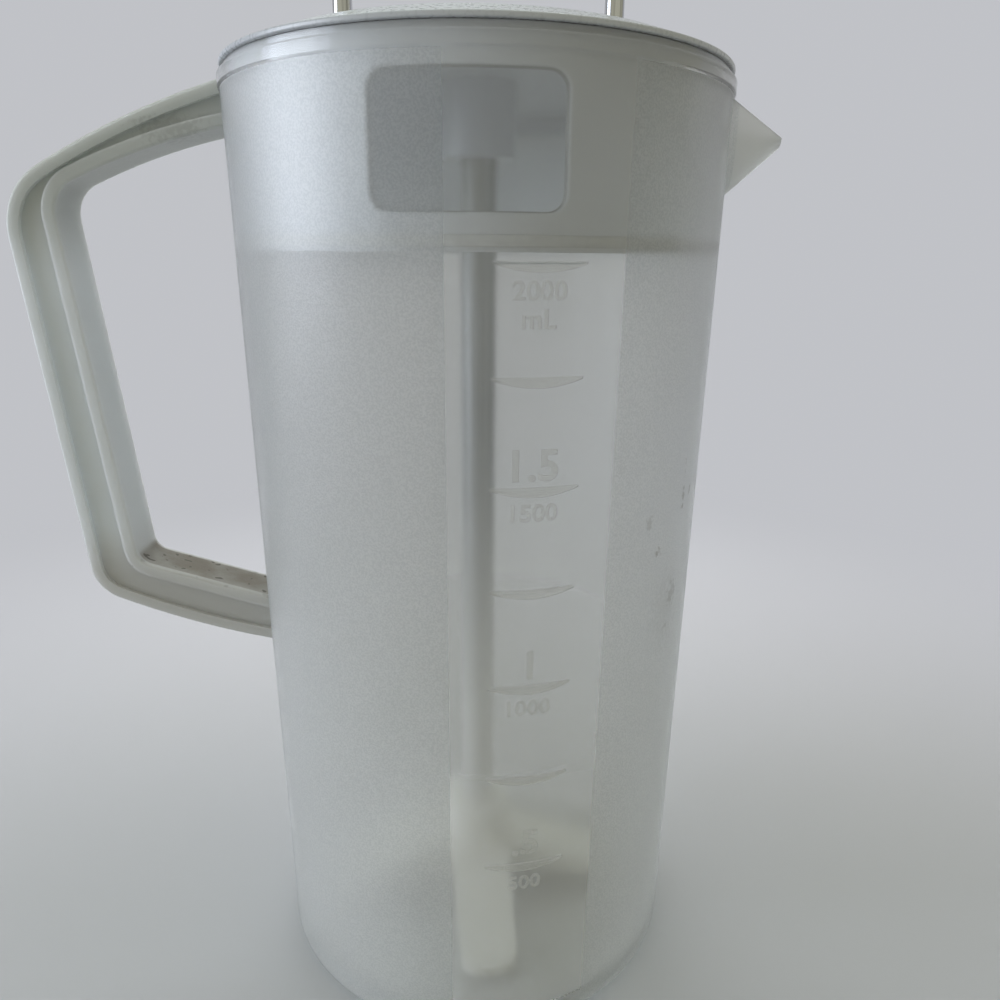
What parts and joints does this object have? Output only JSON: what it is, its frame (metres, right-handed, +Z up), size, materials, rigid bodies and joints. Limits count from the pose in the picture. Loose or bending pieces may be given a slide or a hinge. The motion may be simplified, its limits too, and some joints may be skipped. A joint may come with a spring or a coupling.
{
  "type": "formula mixing pitcher",
  "caption": "Tapered jug with a loop handle and beak, a turning lid with a pour window, and a rod plunger whose bladed head mixes powder into liquid.",
  "frame": {"origin": "middle of the base, on the jug's axis, in the plane of the foot ring", "axes": "+Z up along the jug's axis, +X towards the beak, -X towards the handle"},
  "size_m": [0.1945, 0.1252, 0.3048],
  "materials": {
    "frosted_polypropylene": "milky, frosted, with a polished strip",
    "lid_plastic": "satin light grey",
    "skirt_plastic": "milky, satin",
    "seal_silicone": "matt grey",
    "bearing_plastic": "plain white",
    "rod_steel": "drawn tube",
    "arch_steel": "polished wire",
    "paddle_plastic": "white, moulded"
  },
  "bodies": {
    "pitcher": {"pitcher_body": "frosted_polypropylene", "side_handle": "frosted_polypropylene"},
    "seal": {"skirt_seal": "seal_silicone"},
    "lid": {"lid_cover": "lid_plastic", "lid_skirt": "skirt_plastic", "rod_bush": "bearing_plastic"},
    "wiper": {"rod_wiper": "seal_silicone"},
    "plunger": {"plunger_plate": "lid_plastic", "bail_handle": "arch_steel", "plunger_rod": "rod_steel", "rod_insert": "rod_steel", "rod_screw": "rod_steel", "mixing_paddle": "paddle_plastic", "paddle_pin": "rod_steel"}
  },
  "joints": [
    {"name": "lid_lift", "type": "slide", "parent": "pitcher", "child": "seal", "axis": [0, 0, 1], "range_m": [0, 0.25]},
    {"name": "lid_turn", "type": "hinge", "parent": "seal", "child": "lid", "pos_m": [0, 0, 0.241], "axis": [0, 0, 1], "continuous": true},
    {"name": "plunger_turn", "type": "hinge", "parent": "lid", "child": "wiper", "pos_m": [0, 0, 0.226], "axis": [0, 0, 1], "continuous": true},
    {"name": "plunger_pump", "type": "slide", "parent": "wiper", "child": "plunger", "axis": [0, 0, 1], "range_m": [0, 0.185]}
  ]
}
